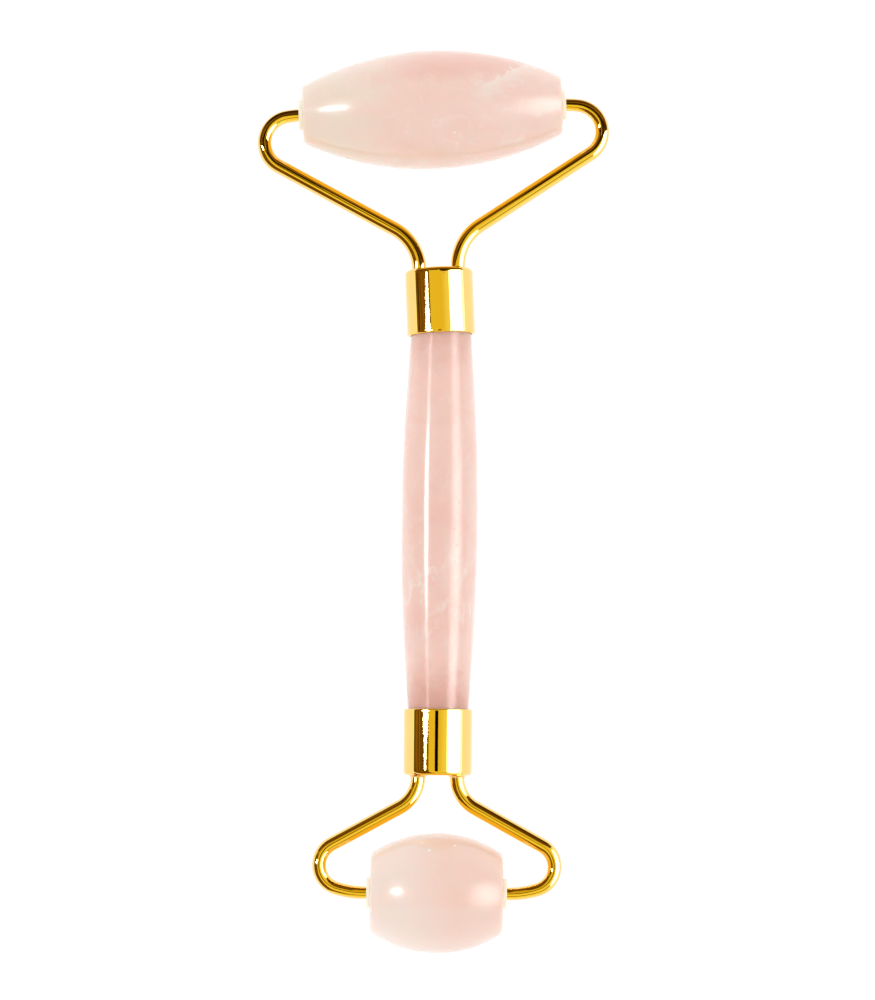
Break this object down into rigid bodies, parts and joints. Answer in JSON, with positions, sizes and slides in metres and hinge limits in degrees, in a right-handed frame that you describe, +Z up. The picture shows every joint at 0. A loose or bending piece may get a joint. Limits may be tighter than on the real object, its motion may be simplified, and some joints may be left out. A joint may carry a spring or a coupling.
{
  "type": "double-ended facial roller",
  "caption": "Massage roller with a turned stone handle, a wide and a short barrel stone, each spinning in a bent-rod fork held by a drawn metal ferrule.",
  "frame": {"origin": "middle of the handle, on its turning axis", "axes": "+Y along the handle towards the large roller, +X along the small roller's spin axis, +Z up when the roller lies on its two stones"},
  "size_m": [0.0565, 0.1446, 0.019],
  "materials": {
    "rose_quartz": "polished",
    "gold_plate": "polished",
    "ivory_nylon": "satin",
    "bare_brass": "satin",
    "epoxy": "gloss",
    "braze_metal": "satin"
  },
  "bodies": {
    "frame": {"handle": "rose_quartz", "large_end_ferrule": "gold_plate", "small_end_ferrule": "gold_plate", "large_end_anchor_plate": "bare_brass", "small_end_anchor_plate": "bare_brass", "large_end_stud": "bare_brass", "small_end_stud": "bare_brass", "large_end_adhesive": "epoxy", "small_end_adhesive": "epoxy", "large_fork_left_arm": "gold_plate", "large_fork_right_arm": "gold_plate", "small_fork_left_arm": "gold_plate", "small_fork_right_arm": "gold_plate", "large_fork_braze": "braze_metal", "small_fork_braze": "braze_metal"},
    "large_roller_body": {"large_roller": "rose_quartz", "large_roller_left_bush": "ivory_nylon", "large_roller_right_bush": "ivory_nylon"},
    "small_roller_body": {"small_roller": "rose_quartz", "small_roller_left_bush": "ivory_nylon", "small_roller_right_bush": "ivory_nylon"}
  },
  "joints": [
    {"name": "large_roller_spin", "type": "hinge", "parent": "frame", "child": "large_roller_body", "pos_m": [-0.00175, 0.06646, 0], "axis": [0.9988, 0.048, 0], "continuous": true},
    {"name": "small_roller_spin", "type": "hinge", "parent": "frame", "child": "small_roller_body", "pos_m": [0, -0.05915, 0], "axis": [1, 0, 0], "continuous": true}
  ]
}
